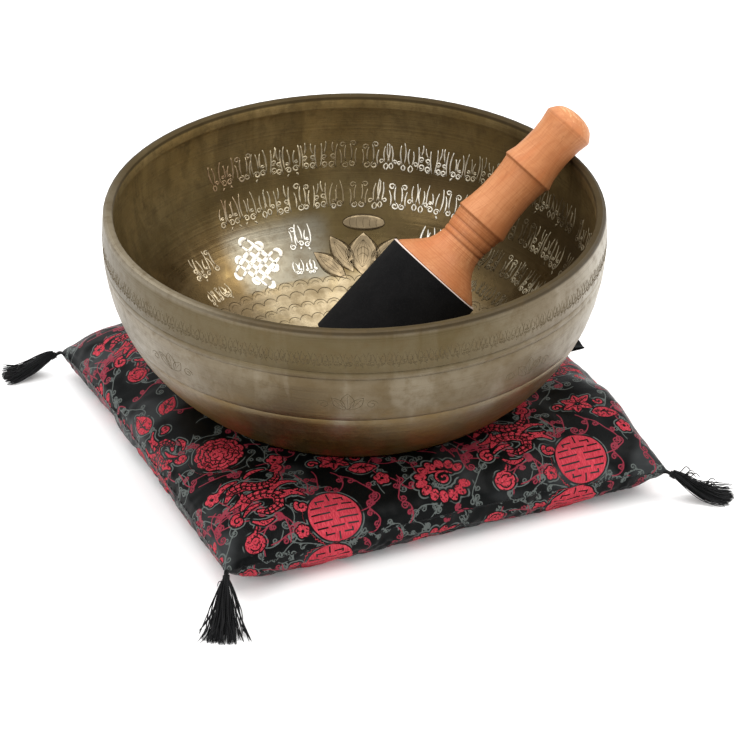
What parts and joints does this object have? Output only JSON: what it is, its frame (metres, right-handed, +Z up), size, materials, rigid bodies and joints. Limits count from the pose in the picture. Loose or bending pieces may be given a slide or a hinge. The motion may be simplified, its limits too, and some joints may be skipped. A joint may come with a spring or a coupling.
{
  "type": "singing bowl set",
  "caption": "Turned metal singing bowl resting on a square tasselled cushion, with a leather-wrapped wooden mallet leaning inside it.",
  "frame": {"origin": "middle of the cushion's flat underside, on the bowl's axis", "axes": "+Z up along the bowl's axis; the cushion's sides run along X and Y; the mallet leans towards +X"},
  "size_m": [0.3076, 0.308, 0.1605],
  "materials": {
    "aged_brass": "aged, satin with polished engraving",
    "turned_wood": "turned, lightly oiled",
    "black_leather": "suede side out",
    "brocade": "satin brocade, black ground with red figures",
    "filling": "loose fibre",
    "black_cord": "twisted cord",
    "black_thread": "loose rayon threads"
  },
  "bodies": {
    "cushion": {"cushion_top_panel": "brocade", "cushion_bottom_panel": "brocade", "cushion_filling": "filling", "cushion_side_tab": "brocade"},
    "bowl": {"bowl": "aged_brass"},
    "mallet": {"mallet_handle": "turned_wood", "mallet_wrap": "black_leather"},
    "tassel_front": {"tassel_front_cord": "black_cord", "tassel_front_head": "black_cord", "tassel_front_skirt": "black_thread"},
    "tassel_right": {"tassel_right_cord": "black_cord", "tassel_right_head": "black_cord", "tassel_right_skirt": "black_thread"},
    "tassel_back": {"tassel_back_cord": "black_cord", "tassel_back_head": "black_cord", "tassel_back_skirt": "black_thread"},
    "tassel_left": {"tassel_left_cord": "black_cord", "tassel_left_head": "black_cord", "tassel_left_skirt": "black_thread"}
  },
  "joints": [
    {"name": "bowl_lift", "type": "slide", "parent": "cushion", "child": "bowl", "axis": [0, 0, 1], "range_m": [0, 0.12]},
    {"name": "mallet_lift", "type": "slide", "parent": "bowl", "child": "mallet", "axis": [0, 0, 1], "range_m": [0, 0.14]},
    {"name": "tassel_front_swing", "type": "hinge", "parent": "cushion", "child": "tassel_front", "pos_m": [-0.1179, -0.1179, 0.0165], "axis": [0, 0, 1], "range_deg": [-25, 25]},
    {"name": "tassel_right_swing", "type": "hinge", "parent": "cushion", "child": "tassel_right", "pos_m": [0.1179, -0.1179, 0.0165], "axis": [0, 0, 1], "range_deg": [-25, 25]},
    {"name": "tassel_back_swing", "type": "hinge", "parent": "cushion", "child": "tassel_back", "pos_m": [0.1179, 0.1179, 0.0165], "axis": [0, 0, 1], "range_deg": [-25, 25]},
    {"name": "tassel_left_swing", "type": "hinge", "parent": "cushion", "child": "tassel_left", "pos_m": [-0.1179, 0.1179, 0.0165], "axis": [0, 0, 1], "range_deg": [-25, 25]}
  ]
}
